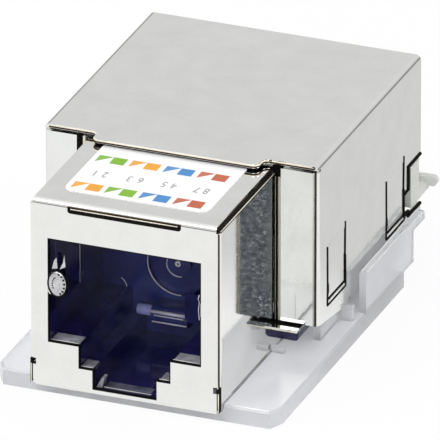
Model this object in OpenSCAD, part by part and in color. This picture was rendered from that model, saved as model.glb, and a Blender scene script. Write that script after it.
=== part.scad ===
// Shielded RJ45 jack module on a clear snap-in base.
// X runs across the plug opening, Y runs from the plug side to the cable side, Z is up.
// The origin lies on the base underside, under the centre line of the jack.

/* [Placement] */
// Distance from the jack face back to the origin
origin_depth = 13.7; // [12:0.1:16]

/* [Plug opening] */
// Width of the plug opening
plug_w = 11.9; // [11.7:0.05:12.2]
// Height of the plug floor above the base underside
plug_floor = 4.3; // [4.1:0.05:4.6]
// Height of the plug opening over the plug floor
plug_h = 8.3; // [8:0.05:9]
// Width of the upper step for the plug latch
latch_w = 7.15; // [6.6:0.05:7.6]
// Floor height of the upper latch step
latch_floor = 2.55; // [2.3:0.05:2.8]
// Width of the lower latch step
key_w = 5.0; // [4.4:0.05:5.6]
// Floor height of the lower latch step
key_floor = 1.05; // [1.05:0.05:1.3]
// Distance from the rear wall of the plug cavity to the rear edge of the shield
cavity_back = 2.2; // [2:0.1:2.6]

/* [Front shield] */
// Distance from the side of the plug opening to the outside of the shield wall
shield_side = 1.45; // [1.4:0.05:1.5]
// Height of the lower edge of the shield
shield_bottom = 0.75; // [0.65:0.05:0.9]
// Height of the top face of the shield over the plug opening
shield_head = 3.0; // [2.9:0.05:3.1]
// Length of the shield side walls
shield_depth = 13.0; // [12:0.1:15]
// Sheet thickness of the shield
shield_sheet = 0.3; // [0.2:0.02:0.34]
// Outer radius of the shield folds
shield_bend = 0.45; // [0.4:0.01:0.5]
// Distance from the side of the top plate to the outside of the shield wall
top_slit = 0.3; // [0.25:0.05:0.4]
// Length of the slot along the top fold
fold_slot_w = 8.8; // [6:0.1:10]
// Height of the slot along the top fold
fold_slot_h = 0.4; // [0.25:0.01:0.45]
// Depth of the lips folded in at the opening
lip_depth = 1.7; // [1.2:0.1:2]
// Height of the slits at the lower side folds
corner_slit_h = 2.1; // [1.6:0.1:2.4]
// Width of the slits at the lower side folds
corner_slit_w = 0.26; // [0.2:0.02:0.3]
// Width of the clipped lower left corner of the face
clip_w = 0.5; // [0.3:0.05:0.6]
// Height of the clipped lower left corner of the face
clip_h = 0.85; // [0.6:0.05:1]
// Distance from the step in the lower edge of the side walls to their rear edge
shield_heel = 0.6; // [0.5:0.05:0.9]
// Thickness of the lips and earth ears
lip_t = 0.2; // [0.16:0.01:0.24]
// Distance from the ends of the earth ears to the outside of the cover
ear_side = 1.35; // [1.1:0.05:1.6]

/* [Ground fingers] */
// Height of the curled ground fingers
finger_h = 2.2; // [1.8:0.1:2.6]
// Height of the middle of the fingers over the plug floor
finger_rise = 4.55; // [4.1:0.05:5]
// Outer radius of the curl of the fingers
finger_curl = 0.6; // [0.5:0.05:0.7]
// Length of the straight tail of the fingers
finger_tail = 2.6; // [2:0.1:3]
// Sheet thickness of the fingers
finger_sheet = 0.22; // [0.18:0.01:0.26]

/* [Rear cover] */
// Width over the cover side walls
cover_w = 21.4; // [20.8:0.1:23]
// How far the cover reaches over the rear of the shield
cover_overlap = 1.7; // [1.6:0.05:1.8]
// Length of the cover along the module
cover_length = 21.0; // [20.8:0.1:26]
// Height of the cover top over the shield top
cover_rise = 0.5; // [0.4:0.05:0.6]
// Height of the lower edge of the cover
cover_bottom = 2.6; // [2.5:0.05:2.8]
// Height of the lower edge at the front corners of the cover
cover_front_bottom = 3.3; // [3.2:0.05:3.4]
// Sheet thickness of the cover
cover_sheet = 0.3; // [0.2:0.02:0.34]
// Outer radius of the cover folds
cover_bend = 0.45; // [0.4:0.01:0.5]
// Gap between the shield wall and the right front flange
flange_gap_right = 0.35; // [0.15:0.05:0.6]
// Gap between the shield wall and the left front flange
flange_gap_left = 0.75; // [0.2:0.05:0.9]
// Height of the dark gap over the front flanges
flange_gap = 0.25; // [0.15:0.05:0.4]
// How far the middle lip of the cover reaches over the label
cover_lip = 1.25; // [1:0.05:1.4]
// Distance from the side of the middle lip to the side of the top plate
cover_lip_side = 0.65; // [0.5:0.05:1]
// Distance from the front of the cover to the front spring tongue
tongue_setback = 1.8; // [1.7:0.05:2.2]
// Distance from the front tongue to the rear tongue
tongue_pitch = 12.05; // [11.9:0.05:12.2]
// Width of the spring tongues with their cuts
tongue_w = 3.65; // [3.4:0.05:3.8]
// Height of the lower cut of the spring tongues
tongue_bottom = 4.2; // [4:0.05:4.5]
// Height of the hinge line of the spring tongues
tongue_top = 9.05; // [8.7:0.05:9.4]
// Width of the cuts round the spring tongues
tongue_cut = 0.45; // [0.35:0.05:0.55]
// Inward lean of the spring tongues in degrees
tongue_lean = 5; // [3:0.5:6]
// Length of the open notch in the rear edge
notch_depth = 2.6; // [2.4:0.05:2.8]
// Lower edge of the rear notch
notch_bottom = 4.2; // [4:0.05:4.4]
// Upper edge of the rear notch
notch_top = 8.2; // [7.9:0.05:8.5]
// Height of the forward step of the notch
notch_step = 6.35; // [6:0.05:6.8]

/* [Wiring label] */
// Distance from the side of the label to the outside of the shield wall
label_side = 1.8; // [1.6:0.1:2.2]
// Distance from the jack face to the label
label_front = 2.05; // [1.8:0.05:2.4]
// Distance from the rear edge of the label to the rear edge of the shield
label_back = 2.25; // [2.2:0.05:2.6]
// Corner radius of the label
label_corner = 0.8; // [0.4:0.05:1.2]
// Thickness of the label
label_sheet = 0.05; // [0.04:0.01:0.06]

/* [Jack housing] */
// Distance from the side of the housing floor to the outside of the cover
tray_side = 2.0; // [1.8:0.05:2.4]
// Distance from the rear end of the housing floor to the rear edge of the cover
tray_back = 2.7; // [2.4:0.1:3.4]
// Height of the top of the housing floor
tray_top = 2.75; // [2.7:0.05:3]
// Depth of the side recess behind each ground finger
finger_recess = 0.9; // [0.8:0.02:0.95]
// Distance from the jack face to the end of the side recess
finger_recess_end = 6.2; // [5.6:0.1:6.8]
// Radius of the round recess in the rear wall of the cavity
eye_r = 2.42; // [2:0.02:2.6]
// Radius of the button in the round recess
eye_button_r = 0.93; // [0.6:0.01:1.2]
// Height of the middle of the round recess over the plug floor
eye_rise = 2.4; // [2.2:0.05:2.7]
// Depth of the round recess
eye_depth = 0.45; // [0.3:0.05:0.6]
// Radius of the round nose of the latch rest
bar_r = 0.68; // [0.5:0.02:0.8]
// Width of the latch rest
bar_w = 2.9; // [2.4:0.1:3.4]

/* [Contacts] */
// Number of contacts
contact_count = 8; // [8:1:8]
// Pitch of the contacts
contact_pitch = 1.02; // [1:0.01:1.05]
// Width of one contact
contact_w = 0.42; // [0.34:0.01:0.5]
// Thickness of one contact
contact_t = 0.26; // [0.2:0.01:0.3]
// Distance from the jack face to the front bend of the contacts
contact_front = 2.7; // [2.4:0.1:3.2]
// Slope of the contact tips in degrees
contact_slope = 25; // [22:0.5:26]
// Length of the sloping contact tips
contact_tip = 7.6; // [7:0.1:7.8]
// Size of the bevelled bends of the contacts
contact_bend = 0.45; // [0.35:0.01:0.5]
// Distance from the rear edge of the shield to the first row of contact tails
tail_setback = 1.6; // [1.4:0.1:2]
// Distance between the two rows of contact tails
tail_pitch = 2.54; // [2.4:0.02:2.7]

/* [Circuit board] */
// Distance from the side of the circuit board to the outside of the cover
board_side = 1.3; // [1.2:0.05:1.5]
// Distance from the rear edge of the shield to the front of the board
board_setback = 0.6; // [0.5:0.05:0.8]
// Distance from the rear edge of the board to the rear edge of the cover
board_back = 2.9; // [2.8:0.05:3.1]
// Thickness of the board
board_t = 1.6; // [1.4:0.05:1.8]
// Height of the standoffs under the board
standoff_h = 0.85; // [0.75:0.05:1]
// Radius of the standoffs
standoff_r = 1.1; // [0.9:0.05:1.3]
// Radius of the locating pins on the standoffs
pin_r = 0.6; // [0.4:0.05:0.7]

/* [Wire terminals] */
// Number of wire terminals on each side
terminal_rows = 4; // [4:1:4]
// Pitch of the wire terminals along the module
terminal_pitch = 3.1; // [3:0.05:3.15]
// Distance from the rear edge of the shield to the first wire terminal
terminal_setback = 5.3; // [5.2:0.05:5.4]
// Distance from the wire terminals to the outside of the cover
terminal_side = 3.5; // [3.3:0.05:3.7]
// Width of a terminal blade
blade_w = 2.0; // [1.7:0.05:2.2]
// Thickness of a terminal blade
blade_t = 0.4; // [0.3:0.02:0.5]
// Width of the wire slot in a blade
blade_slot = 0.36; // [0.3:0.02:0.44]
// Height of the terminal blocks over the board
block_h = 6.6; // [6.2:0.1:7]
// Depth of the wire slots in the terminal blocks
wire_slot_depth = 3.4; // [3.2:0.1:3.8]
// Width of a terminal block
block_w = 3.6; // [3.2:0.1:3.8]
// Width of the wire slots in the terminal blocks
wire_slot = 1.0; // [0.8:0.05:1.2]

/* [Wire guide] */
// Radius of the cable hole
cable_r = 4.0; // [3.6:0.1:4.4]
// Height of the middle of the cable hole
cable_z = 9.4; // [9.2:0.1:9.6]
// Height of the lower edge of the guide body
guide_bottom = 4.4; // [4.3:0.05:4.6]
// Distance from the top of the guide body to the cover top
guide_drop = 1.4; // [1:0.1:1.8]
// How far the guide body reaches into the cover
guide_inset = 1.9; // [1.6:0.05:2]
// How far the guide body stands out behind the cover
guide_reach = 1.9; // [1.5:0.1:2.3]
// How far the thumb tabs stand out beside the cover
tab_reach = 0.75; // [0.6:0.05:0.9]
// Height of the thumb tabs
tab_h = 0.75; // [0.6:0.05:0.9]
// Height of the lower face of the thumb tabs
tab_z = 4.95; // [4.8:0.05:5.2]

/* [Clear base] */
// How far the base stands out beside the right side of the cover
base_right_out = 0.9; // [0.85:0.05:1.3]
// How far the base stays inside the left side of the cover
base_left_in = 0.3; // [0.2:0.05:0.4]
// Distance from the jack face back to the front edge of the base
base_front = 0.55; // [0.4:0.05:0.8]
// Distance from the rear edge of the base to the rear edge of the cover
base_back = 5.8; // [5.2:0.1:6.4]
// Thickness of the base plate
base_t = 1.3; // [1.25:0.05:1.35]
// Depth of the chamfers at the front corners
base_corner = 1.2; // [0.6:0.1:1.6]
// Bevel along the upper edges of the base
base_bevel = 0.15; // [0.1:0.01:0.2]
// Thickness of the side wall
wall_t = 0.55; // [0.4:0.05:0.6]
// Distance from the front end of the side wall to the rear edge of the base
wall_overlap = 7.8; // [7.5:0.1:8.1]
// Height of the side wall
wall_top = 4.5; // [4.3:0.05:4.6]
// Distance from the rear end of the side wall to the rear edge of the cover
wall_back = 1.5; // [1.2:0.1:2]

/* [Fits] */
// Gap between neighbouring pieces that do not touch
gap = 0.1; // [0.05:0.01:0.12]
// Gap round a contact or a blade in plastic
slot_gap = 0.06; // [0.04:0.01:0.09]

/* [Hidden] */
$fn = 40;
eps = 0.01;

// Plug opening and shield
plug_top = plug_floor + plug_h;
cavity_depth = shield_depth - cavity_back;
shield_w = plug_w + 2 * shield_side;
shield_top = plug_top + shield_head;
shield_top_w = shield_w - 2 * top_slit;
shield_step = shield_depth - shield_heel;
roof_gap = 0.2;
shield_wall_top = shield_top - shield_sheet - roof_gap;
shield_inner_w = shield_w - 2 * shield_sheet;
finger_z = plug_floor + finger_rise;

// Rear cover
cover_front = shield_depth - cover_overlap;
cover_rear = cover_front + cover_length;
cover_top = shield_top + cover_rise;
cover_inner_w = cover_w - 2 * cover_sheet;
cover_lip_w = shield_top_w - 2 * cover_lip_side;
flange_right = (cover_w - shield_w) / 2 - flange_gap_right;
flange_left = (cover_w - shield_w) / 2 - flange_gap_left;
tongue_front = cover_front + tongue_setback;
tongue_slack = 0.5;

// Label
label_w = shield_w - 2 * label_side;
label_rear = shield_depth - label_back;

// Housing
housing_w = shield_inner_w - 2 * gap;
housing_front = shield_sheet;
housing_overhang = 0.4;
housing_rear = shield_depth + housing_overhang;
housing_bottom = shield_bottom + gap;
housing_top = shield_wall_top - gap;
tray_w = cover_w - 2 * tray_side;
tray_rear = cover_rear - tray_back;
tray_edge = 0.3;
eye_z = plug_floor + eye_rise;

// Contacts and carrier
carrier_cheeks = 2.6;
carrier_w = contact_pitch * (contact_count + carrier_cheeks);
carrier_nose = 1.3;
carrier_front = contact_front - carrier_nose;
comb_h = 3.2;
carrier_floor = plug_top - comb_h;
comb_depth = 1.6;
comb_front = cavity_depth - comb_depth;
run_rise = 1.15;
run_z = plug_top + run_rise;
tail_front = shield_depth + tail_setback;
tail_drop = 0.5;

// Board and terminals
board_w = cover_w - 2 * board_side;
board_front = shield_depth + board_setback;
board_rear = cover_rear - board_back;
board_z = tray_top + standoff_h;
board_top = board_z + board_t;
solder_hole_r = 0.45;
terminal_front = shield_depth + terminal_setback;
terminal_x = cover_w / 2 - terminal_side;
block_top = board_top + block_h;
block_front = terminal_front - terminal_pitch / 2;
block_len = terminal_pitch * terminal_rows;

// Wire guide
guide_front = cover_rear - guide_inset;
guide_rear = cover_rear + guide_reach;
guide_top = cover_top - guide_drop;
tab_w = cover_w + 2 * tab_reach;

// Clear base
base_right = cover_w / 2 + base_right_out;
base_left = cover_w / 2 - base_left_in;
base_rear = cover_rear - base_back;
wall_front = base_rear - wall_overlap;
wall_rear = cover_rear - wall_back;

// ---------- shared shapes ----------

// Moves what is drawn from the jack face to its place about the origin
module from_face() {
    translate([0, -origin_depth, 0]) children();
}

// A box given by its low corner and its high corner
module block(low, high) {
    translate(low) cube(high - low);
}

// Extrudes a drawing in the X-Z plane from y0 to y1
module along_y(y0, y1) {
    translate([0, y1, 0]) rotate([90, 0, 0]) linear_extrude(y1 - y0) children();
}

// Extrudes a drawing in the Y-Z plane from x0 to x1
module along_x(x0, x1) {
    translate([x0, 0, 0]) rotate([90, 0, 90]) linear_extrude(x1 - x0) children();
}

// A rectangle of width w from y = 0 to y = d with both front corners rounded
module rounded_front(w, d, r) {
    translate([-w / 2, r]) square([w, d - r]);
    translate([r - w / 2, 0]) square([w - 2 * r, r + eps]);
    for (side = [-1, 1]) translate([side * (w / 2 - r), r]) circle(r);
}

// A rectangle with four rounded corners, given by its low and high corners
module rounded_rect(low, high, r) {
    translate([low.x + r, low.y]) square([high.x - low.x - 2 * r, high.y - low.y]);
    translate([low.x, low.y + r]) square([high.x - low.x, high.y - low.y - 2 * r]);
    for (x = [low.x + r, high.x - r]) for (y = [low.y + r, high.y - r]) {
        translate([x, y]) circle(r);
    }
}

// The stepped outline of the plug opening in the X-Z plane
module plug_outline() {
    translate([-plug_w / 2, plug_floor]) square([plug_w, plug_top - plug_floor]);
    translate([-latch_w / 2, latch_floor]) square([latch_w, plug_floor - latch_floor + eps]);
    translate([-key_w / 2, key_floor]) square([key_w, latch_floor - key_floor + eps]);
}

// A flat strip of thickness t from point a to point b with round ends
module strip(a, b, t) {
    d = b - a;
    translate(a) rotate(atan2(d.y, d.x)) translate([0, -t / 2]) square([norm(d), t]);
    translate(a) circle(t / 2);
    translate(b) circle(t / 2);
}

// ---------- front shield ----------

// Front, side walls and their folds
module shield_walls() {
    translate([0, 0, shield_bottom]) linear_extrude(shield_wall_top - shield_bottom) difference() {
        rounded_front(shield_w, shield_depth, shield_bend);
        translate([0, shield_sheet]) {
            rounded_front(shield_inner_w, shield_depth, shield_bend - shield_sheet);
        }
    }
}

// Top plate with the fold down to the front
module shield_roof() {
    bend_z = shield_top - shield_bend;
    along_x(-shield_top_w / 2, shield_top_w / 2) {
        translate([shield_bend, shield_top - shield_sheet]) {
            square([shield_depth - shield_bend, shield_sheet]);
        }
        translate([0, shield_wall_top - 1]) square([shield_sheet, bend_z - shield_wall_top + 1]);
        difference() {
            translate([shield_bend, bend_z]) circle(shield_bend);
            translate([shield_bend, bend_z]) circle(shield_bend - shield_sheet);
            translate([shield_bend, bend_z - 1]) square([1, 2]);
            translate([-1, bend_z - 1]) square([3, 1]);
        }
    }
}

// Lips folded in along the ledges of the opening
module shield_lips() {
    for (side = [0, 1]) mirror([side, 0, 0]) {
        block([latch_w / 2, eps, plug_floor - lip_t], [plug_w / 2, lip_depth, plug_floor]);
        block([key_w / 2, eps, latch_floor - lip_t], [latch_w / 2, lip_depth, latch_floor]);
    }
}

// One ground finger: a rounded curl in from the side edge of the opening, and a tail in the side recess
module ground_finger() {
    root = 0.3;
    tail_inset = 0.35;
    corner = 0.7;
    dome = 0.95;
    curl_x = plug_w / 2 - finger_curl;
    low = finger_z - finger_h / 2;
    tail_end = finger_curl + finger_tail;
    intersection() {
        translate([0, 0, low]) linear_extrude(finger_h) {
            translate([curl_x, 0]) square([finger_curl + root, finger_sheet]);
            difference() {
                translate([curl_x, finger_curl]) circle(finger_curl);
                translate([curl_x, finger_curl]) circle(finger_curl - finger_sheet);
                translate([curl_x, -1]) square([finger_curl + 1, finger_curl + 3]);
                translate([curl_x - finger_curl - 1, finger_curl]) square([finger_curl + 2, finger_curl + 1]);
            }
            strip([curl_x - finger_curl + finger_sheet / 2, finger_curl],
                  [plug_w / 2 + tail_inset, tail_end], finger_sheet);
        }
        along_x(0, shield_w / 2) rounded_rect([-eps, low], [tail_end + finger_sheet, low + finger_h], corner);
        along_y(-1, tail_end + 1) rounded_rect([curl_x - finger_curl, low], [shield_w / 2, low + finger_h], dome);
    }
}

module front_shield() {
    slit_top = shield_bottom + corner_slit_h;
    relief_h = 0.5;
    fold_slot_drop = 0.13;
    slot_low = shield_wall_top - fold_slot_drop;
    ear_gap = 0.13;
    ear_top = cover_front_bottom - ear_gap;
    ear_front = 0.9;
    ear_back = 1;
    color([0.86, 0.87, 0.85]) from_face() {
        difference() {
            union() {
                shield_walls();
                shield_roof();
            }
            along_y(-1, 1) plug_outline();
            // slot along the top fold
            block([-fold_slot_w / 2, -1, slot_low], [fold_slot_w / 2, shield_bend, slot_low + fold_slot_h]);
            // slits at the lower side folds, each with a wider relief at its top
            for (side = [0, 1]) mirror([side, 0, 0]) {
                block([shield_w / 2 - corner_slit_w, -1, 0], [shield_w / 2 + 1, shield_bend - 0.1, slit_top]);
                block([shield_w / 2 - 2 * corner_slit_w, -1, slit_top - relief_h],
                      [shield_w / 2 + 1, shield_bend - 0.1, slit_top]);
            }
            // clipped lower left corner of the face
            along_y(-1, shield_sheet + eps) polygon([
                [-shield_w / 2 - eps, shield_bottom - eps],
                [-shield_w / 2 + clip_w, shield_bottom - eps],
                [-shield_w / 2 - eps, shield_bottom + clip_h]
            ]);
            // the side walls step up over the housing floor
            block([-shield_w, shield_step, 0], [shield_w, shield_depth + 1, tray_top + gap]);
        }
        shield_lips();
        for (side = [0, 1]) mirror([side, 0, 0]) {
            ground_finger();
            block([shield_w / 2 - eps, cover_front - ear_front, ear_top - lip_t],
                  [cover_w / 2 - ear_side, shield_depth - ear_back, ear_top]);
        }
    }
}

// ---------- rear cover ----------

// The U-shaped section of the cover in the X-Z plane
module cover_section() {
    difference() {
        rotate(180) translate([0, -cover_top]) rounded_front(cover_w, cover_top - cover_bottom, cover_bend);
        rotate(180) translate([0, cover_sheet - cover_top]) {
            rounded_front(cover_inner_w, cover_top - cover_bottom, cover_bend - cover_sheet);
        }
    }
}

// The folded front flange of the right side, w wide
module flange(w) {
    edge = cover_w / 2;
    height = cover_top - cover_sheet - flange_gap - cover_front_bottom;
    translate([0, 0, cover_front_bottom]) linear_extrude(height) {
        translate([edge - w, cover_front]) square([w - cover_bend, cover_sheet]);
        difference() {
            translate([edge - cover_bend, cover_front + cover_bend]) circle(cover_bend);
            translate([edge - cover_bend, cover_front + cover_bend]) circle(cover_bend - cover_sheet);
            translate([edge - cover_bend - 1, cover_front]) square([1, 2]);
            translate([edge - 1, cover_front + cover_bend]) square(2);
        }
    }
}

// The middle lip of the cover top, with rounded corners
module cover_middle_lip() {
    corner = 0.5;
    half = cover_lip_w / 2;
    translate([0, 0, cover_top - cover_sheet]) linear_extrude(cover_sheet) difference() {
        union() {
            rounded_rect([-half, cover_front - cover_lip], [half, cover_front + 1], corner);
            translate([-half - corner, cover_front - corner]) square([2 * (half + corner), corner + eps]);
        }
        for (side = [-1, 1]) translate([side * (half + corner), cover_front - corner]) circle(corner);
    }
}

// One spring tongue on the right side, hinged along its top
module tongue() {
    height = tongue_top - tongue_bottom - tongue_slack;
    translate([cover_w / 2 - cover_sheet, tongue_cut, tongue_top]) rotate([0, tongue_lean, 0]) {
        translate([0, 0, -height]) cube([cover_sheet, tongue_w - 2 * tongue_cut, height + 2 * eps]);
    }
}

module rear_cover() {
    side_front = cover_front + cover_bend;
    slope_len = 5.4;
    slope_end = cover_front + slope_len;
    nick_front = slope_end + 0.7;
    nick_w = 0.4;
    nick_h = 0.35;
    notch_sill = 0.4;
    color([0.82, 0.83, 0.81]) from_face() {
        difference() {
            union() {
                along_y(side_front, cover_rear) cover_section();
                // the top reaches forward over the flanges
                along_y(cover_front, side_front + eps) intersection() {
                    cover_section();
                    translate([-cover_w, cover_top - cover_sheet]) square([2 * cover_w, cover_sheet]);
                }
            }
            // rising lower edge at the front
            along_x(-cover_w, cover_w) polygon([
                [cover_front - 1, cover_bottom - 1],
                [cover_front - 1, cover_front_bottom],
                [side_front, cover_front_bottom],
                [slope_end, cover_bottom],
                [slope_end, cover_bottom - 1]
            ]);
            // small locating nick in the lower edge
            block([-cover_w, nick_front, cover_bottom - 1],
                  [cover_w, nick_front + nick_w, cover_bottom + nick_h]);
            for (row = [0, 1]) {
                y = tongue_front + row * tongue_pitch;
                block([-cover_w, y, tongue_bottom], [cover_w, y + tongue_w, tongue_top]);
            }
            block([-cover_w, cover_rear - notch_depth, notch_bottom], [cover_w, cover_rear + 1, notch_top]);
            // below its step the notch runs forward into the cut of the rear tongue
            block([-cover_w, tongue_front + tongue_pitch + tongue_w - eps, notch_bottom + notch_sill],
                  [cover_w, cover_rear - notch_depth + eps, notch_step]);
        }
        flange(flange_right);
        mirror([1, 0, 0]) flange(flange_left);
        cover_middle_lip();
        for (side = [0, 1]) mirror([side, 0, 0]) for (row = [0, 1]) {
            translate([0, tongue_front + row * tongue_pitch, 0]) tongue();
        }
    }
}

// ---------- label ----------

module wiring_label() {
    color("white") from_face() translate([0, 0, shield_top]) linear_extrude(label_sheet) {
        rounded_rect([-label_w / 2, label_front], [label_w / 2, label_rear], label_corner);
    }
}

// ---------- jack housing ----------

// Places its children at the four standoffs of the board
module at_standoffs() {
    edge_side = 1.9;
    edge_front = 1.6;
    edge_back = 1.2;
    middle_side = 3;
    for (side = [-1, 1]) {
        translate([side * (board_w / 2 - edge_side), board_front + edge_front]) children();
        translate([side * middle_side, board_rear - edge_back]) children();
    }
}

// The hollow that takes the plug, with the recesses round it
module plug_cavity() {
    seat = lip_t + gap;
    recess_room = 1.4;
    recess_low = finger_z - finger_h / 2 - recess_room;
    along_y(housing_front - 1, cavity_depth) plug_outline();
    for (side = [0, 1]) mirror([side, 0, 0]) {
        // seats of the shield lips
        block([latch_w / 2 - gap, housing_front - 1, plug_floor - seat],
              [plug_w / 2, lip_depth + gap, plug_floor + 1]);
        block([key_w / 2 - gap, housing_front - 1, latch_floor - seat],
              [latch_w / 2, lip_depth + gap, latch_floor + 1]);
        // recess of the ground finger
        block([0, housing_front - 1, recess_low],
              [plug_w / 2 + finger_recess, finger_recess_end, plug_top]);
    }
    translate([0, 0, eye_z]) along_y(cavity_depth - eps, cavity_depth + eye_depth) circle(eye_r);
}

module jack_housing() {
    carrier_half = carrier_w / 2 + gap;
    color([0.13, 0.13, 0.38]) from_face() {
        difference() {
            union() {
                block([-housing_w / 2, housing_front, housing_bottom],
                      [housing_w / 2, housing_rear, housing_top]);
                along_y(shield_step + gap, tray_rear) {
                    rounded_rect([-tray_w / 2, base_t], [tray_w / 2, tray_top], tray_edge);
                }
                translate([0, 0, tray_top - eps]) at_standoffs() {
                    cylinder(h = standoff_h + eps, r = standoff_r);
                }
                translate([0, 0, board_z - eps]) at_standoffs() cylinder(h = board_t - gap, r = pin_r);
            }
            plug_cavity();
            // seat of the contact carrier, open at the top and the rear
            block([-carrier_half, carrier_front - gap, plug_top],
                  [carrier_half, housing_rear + 1, housing_top + 1]);
            block([-carrier_half, comb_front - gap, carrier_floor - gap],
                  [carrier_half, housing_rear + 1, plug_top + 1]);
        }
        // button in the round recess
        translate([0, 0, eye_z]) along_y(cavity_depth, cavity_depth + eye_depth + eps) circle(eye_button_r);
        // latch rest: a block with a half-round nose that reaches forward over the channel
        nose_y = cavity_depth - 2 * bar_r;
        along_x(-bar_w / 2, bar_w / 2) {
            translate([nose_y, latch_floor]) square([cavity_depth + eps - nose_y, 2 * bar_r]);
            translate([nose_y, latch_floor + bar_r]) circle(bar_r);
        }
    }
}

// ---------- contacts and their carrier ----------

// Distance from the centre line to contact i
function contact_x(i) = (i - (contact_count - 1) / 2) * contact_pitch;

// One bent contact: tail through the board, run over the cavity, sloping tip
module contact(i) {
    tail_y = tail_front + (i % 2) * tail_pitch;
    bend = contact_bend;
    tip_return = [0.9, 0.1];
    tip = [
        contact_front + contact_tip * cos(contact_slope),
        run_z - 2 * bend - contact_tip * sin(contact_slope)
    ];
    route = [
        [tail_y, board_z - tail_drop],
        [tail_y, run_z - bend],
        [tail_y - bend, run_z],
        [contact_front + bend, run_z],
        [contact_front, run_z - bend],
        [contact_front + bend, run_z - 2 * bend],
        tip,
        tip + tip_return
    ];
    color([0.86, 0.68, 0.3]) from_face() translate([contact_x(i), 0, 0]) {
        along_x(-contact_w / 2, contact_w / 2) {
            for (n = [0 : len(route) - 2]) strip(route[n], route[n + 1], contact_t);
        }
    }
}

module contact_carrier() {
    groove = contact_w + 2 * slot_gap;
    half = contact_t / 2 + slot_gap;
    groove_reach = 0.3;
    carrier_rear = tail_front - contact_bend - contact_t / 2 - gap;
    color([0.1, 0.1, 0.2]) from_face() difference() {
        union() {
            block([-carrier_w / 2, carrier_front, plug_top + eps],
                  [carrier_w / 2, carrier_rear, housing_top]);
            block([-carrier_w / 2, comb_front, carrier_floor],
                  [carrier_w / 2, cavity_depth + eps, plug_top + 2 * eps]);
            block([-carrier_w / 2, cavity_depth, carrier_floor],
                  [carrier_w / 2, housing_rear, plug_top + 2 * eps]);
        }
        for (i = [0 : contact_count - 1]) translate([contact_x(i), 0, 0]) {
            // open groove over the cavity
            block([-groove / 2, contact_front - half, carrier_floor - 1],
                  [groove / 2, cavity_depth + groove_reach, run_z + half]);
            // tunnel back to the board side
            block([-groove / 2, cavity_depth, run_z - half], [groove / 2, carrier_rear + 1, run_z + half]);
        }
    }
}

// ---------- circuit board ----------

// Distance from the jack face to wire terminal row
function terminal_y(row) = terminal_front + row * terminal_pitch;

module circuit_board() {
    color([0.1, 0.36, 0.2]) from_face() difference() {
        block([-board_w / 2, board_front, board_z], [board_w / 2, board_rear, board_top]);
        translate([0, 0, board_z - 1]) {
            at_standoffs() cylinder(h = board_t + 2, r = pin_r + gap);
            for (i = [0 : contact_count - 1]) translate([contact_x(i), tail_front + (i % 2) * tail_pitch]) {
                cylinder(h = board_t + 2, r = solder_hole_r);
            }
            for (side = [-1, 1]) for (row = [0 : terminal_rows - 1]) {
                translate([side * terminal_x, terminal_y(row)]) cylinder(h = board_t + 2, r = solder_hole_r);
            }
        }
    }
}

// ---------- wire terminals ----------

// One slotted blade: solder tail below, wire slot with a lead-in above
module terminal(side, row) {
    tail_w = 0.6;
    lift = 0.2;
    blade_low = board_top + lift;
    tail_h = blade_low + eps - board_z + tail_drop;
    blade_top = block_top - 0.5;
    slot_depth = wire_slot_depth - 0.4;
    lead_in = 0.7;
    color([0.8, 0.8, 0.78]) from_face() translate([side * terminal_x, terminal_y(row), 0]) {
        along_x(-blade_t / 2, blade_t / 2) difference() {
            union() {
                translate([-tail_w / 2, board_z - tail_drop]) square([tail_w, tail_h]);
                translate([-blade_w / 2, blade_low]) square([blade_w, blade_top - blade_low]);
            }
            translate([-blade_slot / 2, blade_top - slot_depth]) square([blade_slot, slot_depth + 1]);
            polygon([[0, blade_top - lead_in], [lead_in, blade_top + eps], [-lead_in, blade_top + eps]]);
        }
    }
}

// One block of slotted towers that holds the blades of a side
module terminal_block(side) {
    half = block_w / 2;
    lead_in = 1.1;
    color([0.9, 0.9, 0.88]) from_face() translate([side * terminal_x, 0, 0]) difference() {
        block([-half, block_front, board_top], [half, block_front + block_len, block_top]);
        for (row = [0 : terminal_rows - 1]) translate([0, terminal_y(row), 0]) {
            // pocket of the blade
            block([-blade_t / 2 - slot_gap, -blade_w / 2 - slot_gap, board_top - 1],
                  [blade_t / 2 + slot_gap, blade_w / 2 + slot_gap, block_top + 1]);
            // slot for the wire, with a lead-in
            along_x(-half - 1, half + 1) {
                translate([-wire_slot / 2, block_top - wire_slot_depth]) {
                    square([wire_slot, wire_slot_depth + 1]);
                }
                polygon([[0, block_top - lead_in], [lead_in, block_top + eps], [-lead_in, block_top + eps]]);
            }
        }
    }
}

// ---------- wire guide ----------

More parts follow.
